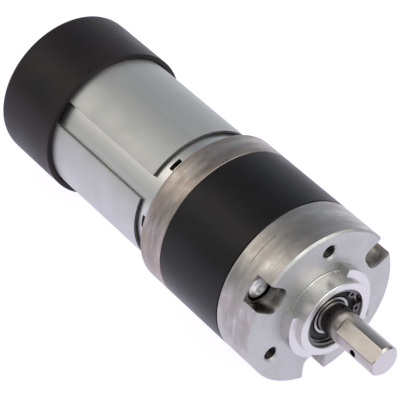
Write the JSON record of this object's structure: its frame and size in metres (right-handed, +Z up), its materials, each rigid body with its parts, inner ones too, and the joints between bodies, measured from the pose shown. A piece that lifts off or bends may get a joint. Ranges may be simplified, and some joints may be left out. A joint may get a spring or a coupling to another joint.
{
  "type": "geared dc motor",
  "caption": "Brushed DC motor with an in-line two-stage planetary gearbox: round flanged housing, D-cut output shaft, black rear cover and blade terminals.",
  "frame": {"origin": "bottom centre of the bounding box, on the surface the motor lies on", "axes": "+Z up; the shaft axis is horizontal along Y, 21 mm up, and the output shaft points to -Y; +X is to the right as seen from the shaft's end"},
  "size_m": [0.042, 0.1308, 0.042],
  "materials": {
    "cast_zinc": "die-cast zinc alloy with a fine brushed, lightly clear-plated skin",
    "black_oxide": "black oxide on turned steel, satin",
    "black_plastic": "moulded black plastic with a fine texture",
    "plated_can": "drawn steel can, zinc-plated, bright satin",
    "plated_sleeve": "rolled steel strip, zinc-plated, satin",
    "ground_steel": "ground shaft steel with a warm cast",
    "gear_steel": "sintered and machined steel, oiled",
    "bearing_steel": "polished bearing steel",
    "screw_steel": "bright zinc-plated screw",
    "spring_steel": "oiled spring steel",
    "ferrite": "dark grey sintered ferrite, matt",
    "core_steel": "stacked electrical steel laminations",
    "copper": "copper: varnished wire and bright segments",
    "bronze": "oil-filled sintered bronze",
    "carbon": "pressed carbon, matt",
    "tin": "tinned brass blade",
    "nylon": "natural glass-filled nylon",
    "nitrile": "moulded black nitrile"
  },
  "bodies": {
    "housing": {"front_flange": "cast_zinc", "ring_gear": "black_oxide", "motor_adapter": "cast_zinc", "housing_screw_a": "screw_steel", "housing_screw_b": "screw_steel", "housing_screw_c": "screw_steel", "motor_screw_a": "screw_steel", "motor_screw_b": "screw_steel", "front_bearing_outer_ring": "bearing_steel", "rear_bearing_outer_ring": "bearing_steel", "front_bearing_seal": "nitrile", "retaining_ring": "spring_steel", "stop_washer": "gear_steel", "motor_can": "plated_can", "flux_sleeve": "plated_sleeve", "magnet_a": "ferrite", "magnet_b": "ferrite", "brush_plate": "nylon", "terminal_a": "tin", "terminal_b": "tin", "brush_a": "carbon", "brush_b": "carbon", "brush_spring_a": "spring_steel", "brush_spring_b": "spring_steel", "rear_bush": "bronze", "front_bush": "bronze", "rear_cap": "black_plastic"},
    "output": {"output_shaft": "ground_steel", "output_carrier": "gear_steel", "output_pin_a": "ground_steel", "output_pin_b": "ground_steel", "output_pin_c": "ground_steel", "front_bearing_inner_ring": "bearing_steel", "rear_bearing_inner_ring": "bearing_steel"},
    "front_balls": {"front_ball_cage": "bearing_steel"},
    "rear_balls": {"rear_ball_cage": "bearing_steel"},
    "second_planet_1": {"second_planet_a": "gear_steel"},
    "second_planet_2": {"second_planet_b": "gear_steel"},
    "second_planet_3": {"second_planet_c": "gear_steel"},
    "first_stage": {"first_carrier": "gear_steel", "first_pin_a": "ground_steel", "first_pin_b": "ground_steel", "first_pin_c": "ground_steel", "second_sun": "gear_steel"},
    "first_planet_1": {"first_planet_a": "gear_steel"},
    "first_planet_2": {"first_planet_b": "gear_steel"},
    "first_planet_3": {"first_planet_c": "gear_steel"},
    "rotor": {"rotor_shaft": "ground_steel", "rotor_pinion": "gear_steel", "armature_core": "core_steel", "front_winding": "copper", "rear_winding": "copper", "commutator": "copper"}
  },
  "joints": [
    {"name": "output_spin", "type": "hinge", "parent": "housing", "child": "output", "pos_m": [0, -0.03805, 0.021], "axis": [0, -1, 0], "continuous": true},
    {"name": "front_balls_spin", "type": "hinge", "parent": "housing", "child": "front_balls", "pos_m": [0, -0.04395, 0.021], "axis": [0, -1, 0], "continuous": true},
    {"name": "rear_balls_spin", "type": "hinge", "parent": "housing", "child": "rear_balls", "pos_m": [0, -0.03415, 0.021], "axis": [0, -1, 0], "continuous": true},
    {"name": "second_planet_1_spin", "type": "hinge", "parent": "output", "child": "second_planet_1", "pos_m": [0, -0.02205, 0.0309], "axis": [0, -1, 0], "continuous": true},
    {"name": "second_planet_2_spin", "type": "hinge", "parent": "output", "child": "second_planet_2", "pos_m": [-0.00857, -0.02205, 0.01605], "axis": [0, -1, 0], "continuous": true},
    {"name": "second_planet_3_spin", "type": "hinge", "parent": "output", "child": "second_planet_3", "pos_m": [0.00857, -0.02205, 0.01605], "axis": [0, -1, 0], "continuous": true},
    {"name": "first_stage_spin", "type": "hinge", "parent": "housing", "child": "first_stage", "pos_m": [0, -0.01655, 0.021], "axis": [0, -1, 0], "continuous": true},
    {"name": "first_planet_1_spin", "type": "hinge", "parent": "first_stage", "child": "first_planet_1", "pos_m": [0, -0.01275, 0.0309], "axis": [0, -1, 0], "continuous": true},
    {"name": "first_planet_2_spin", "type": "hinge", "parent": "first_stage", "child": "first_planet_2", "pos_m": [-0.00857, -0.01275, 0.01605], "axis": [0, -1, 0], "continuous": true},
    {"name": "first_planet_3_spin", "type": "hinge", "parent": "first_stage", "child": "first_planet_3", "pos_m": [0.00857, -0.01275, 0.01605], "axis": [0, -1, 0], "continuous": true},
    {"name": "rotor_spin", "type": "hinge", "parent": "housing", "child": "rotor", "pos_m": [0, 0.02595, 0.021], "axis": [0, -1, 0], "continuous": true}
  ],
  "couplings": [
    {"joint": "front_balls_spin", "follows": "output_spin", "ratio": 0.42},
    {"joint": "rear_balls_spin", "follows": "output_spin", "ratio": 0.42},
    {"joint": "second_planet_1_spin", "follows": "output_spin", "ratio": -3.2},
    {"joint": "second_planet_2_spin", "follows": "output_spin", "ratio": -3.2},
    {"joint": "second_planet_3_spin", "follows": "output_spin", "ratio": -3.2},
    {"joint": "first_stage_spin", "follows": "output_spin", "ratio": 3.6667},
    {"joint": "first_planet_1_spin", "follows": "output_spin", "ratio": -11.733},
    {"joint": "first_planet_2_spin", "follows": "output_spin", "ratio": -11.733},
    {"joint": "first_planet_3_spin", "follows": "output_spin", "ratio": -11.733},
    {"joint": "rotor_spin", "follows": "output_spin", "ratio": 13.444}
  ]
}
